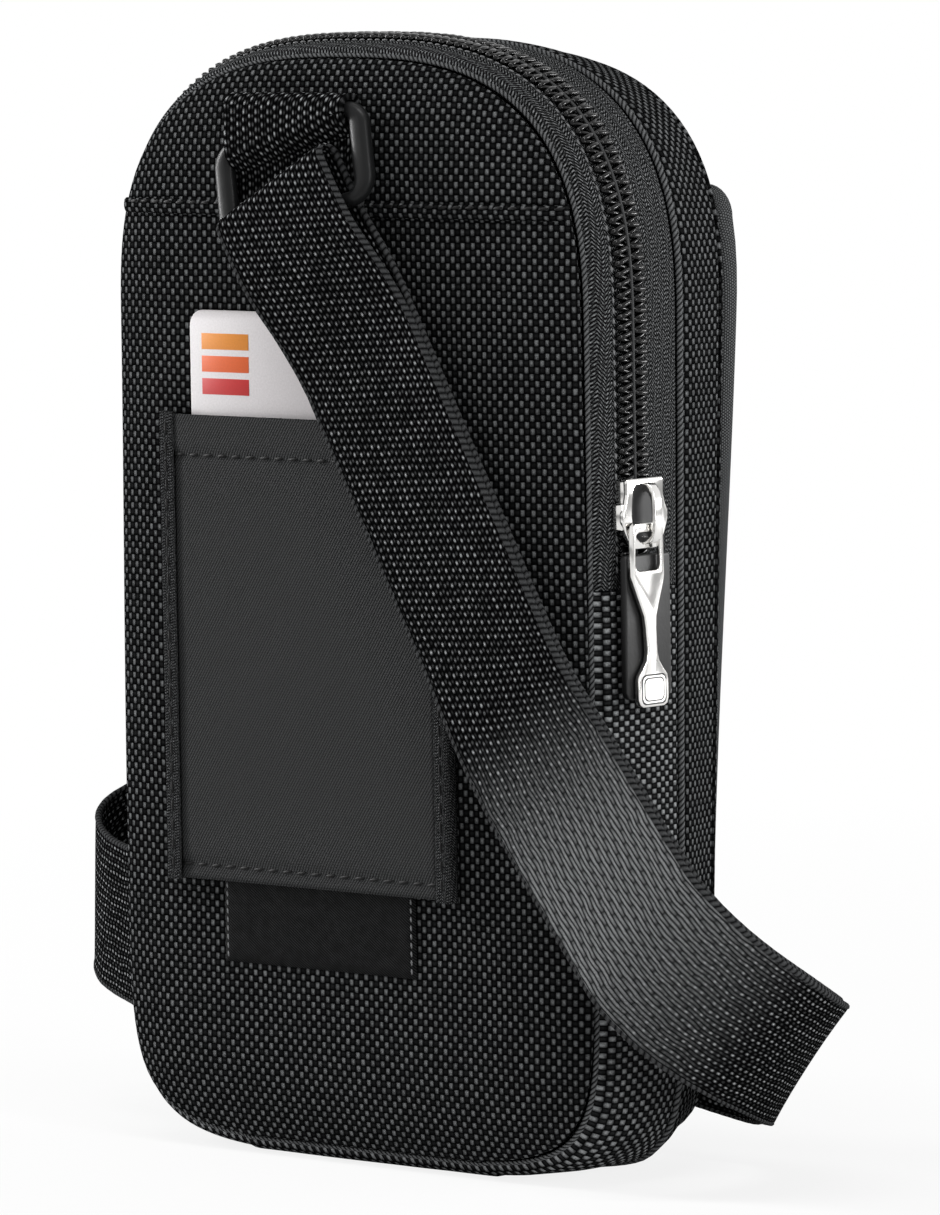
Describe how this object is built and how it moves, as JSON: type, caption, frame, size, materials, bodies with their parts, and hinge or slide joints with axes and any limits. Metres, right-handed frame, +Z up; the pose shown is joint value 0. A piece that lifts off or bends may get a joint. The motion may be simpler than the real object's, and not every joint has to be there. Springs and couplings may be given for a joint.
{
  "type": "sling bag",
  "caption": "Small upright sling bag with a padded face, card pocket, side zip with a metal pull, rear slip pocket and a wide adjustable webbing strap on a ring.",
  "frame": {"origin": "on the surface the bag stands on, under the middle of its flat bottom: x at the middle of the body's width, y 15 mm behind the seam of the face", "axes": "+Z up, -Y out of the face with the card pocket, +X toward the side with the zip slider"},
  "size_m": [0.194, 0.0599, 0.21],
  "materials": {
    "ballistic_nylon": "coarse woven nylon, matt",
    "pocket_twill": "smooth twill",
    "tape_cloth": "herringbone tape",
    "coil_nylon": "glossy nylon coil",
    "nickel": "polished nickel",
    "black_rubber": "matt rubber",
    "ring_plastic": "satin moulded plastic",
    "strap_webbing": "ribbed webbing",
    "lining_cloth": "plain lining",
    "foam": "closed-cell foam",
    "label_satin": "woven satin",
    "card_plastic": "fine speckled plastic",
    "padded_panel_cloth": "smooth fine cloth"
  },
  "bodies": {
    "bag": {"face_panel": "ballistic_nylon", "face_yoke": "ballistic_nylon", "yoke_seam_fold": "ballistic_nylon", "face_foam": "foam", "face_lining": "lining_cloth", "front_seam_binding": "tape_cloth", "gusset_lower": "ballistic_nylon", "gusset_rear_band": "ballistic_nylon", "gusset_lining_lower": "lining_cloth", "gusset_lining_upper": "lining_cloth", "zip_tape_front": "tape_cloth", "zip_tape_rear": "tape_cloth", "zip_coil_front": "coil_nylon", "zip_coil_rear": "coil_nylon", "zip_end_stop_right": "coil_nylon", "zip_end_stop_left": "coil_nylon", "rear_wall": "ballistic_nylon", "rear_foam": "foam", "rear_lining": "lining_cloth", "rear_seam_binding": "tape_cloth", "inner_sleeve": "lining_cloth", "inner_sleeve_binding": "tape_cloth", "rear_pocket_panel": "padded_panel_cloth", "rear_pocket_foam": "foam", "rear_pocket_lining": "lining_cloth", "card_pocket": "pocket_twill", "card_pocket_top_hem": "pocket_twill", "card_pocket_bottom_hem": "pocket_twill", "card_pocket_tape_left": "tape_cloth", "card_pocket_tape_right": "tape_cloth", "label": "label_satin", "ring_tab": "strap_webbing", "strap": "strap_webbing"},
    "slider": {"zip_slider": "nickel", "zip_slider_bridge": "nickel"},
    "pull": {"zip_pull": "nickel", "zip_pull_backing": "black_rubber"},
    "ring": {"strap_ring": "ring_plastic"},
    "adjuster": {"strap_adjuster": "ring_plastic"},
    "card": {"card": "card_plastic"}
  },
  "joints": [
    {"name": "zip_slide", "type": "slide", "parent": "bag", "child": "slider", "axis": [0, 0, 1], "range_m": [-0.0045, 0.026]},
    {"name": "pull_swing", "type": "hinge", "parent": "slider", "child": "pull", "pos_m": [0.065, -0.0061, 0.1206], "axis": [0, -1, 0], "range_deg": [0, 150]},
    {"name": "ring_swing", "type": "hinge", "parent": "bag", "child": "ring", "pos_m": [-0.00795, -0.02216, 0.19263], "axis": [-0.9781, 0, -0.2079], "range_deg": [0, 65], "deforming": ["strap"]},
    {"name": "adjuster_slide", "type": "slide", "parent": "bag", "child": "adjuster", "axis": [-0.9855, 0, 0.1699], "range_m": [-0.04, 0.03], "deforming": ["strap"]},
    {"name": "card_slide", "type": "slide", "parent": "bag", "child": "card", "axis": [0, 0, 1], "range_m": [-0.017, 0.015]}
  ]
}
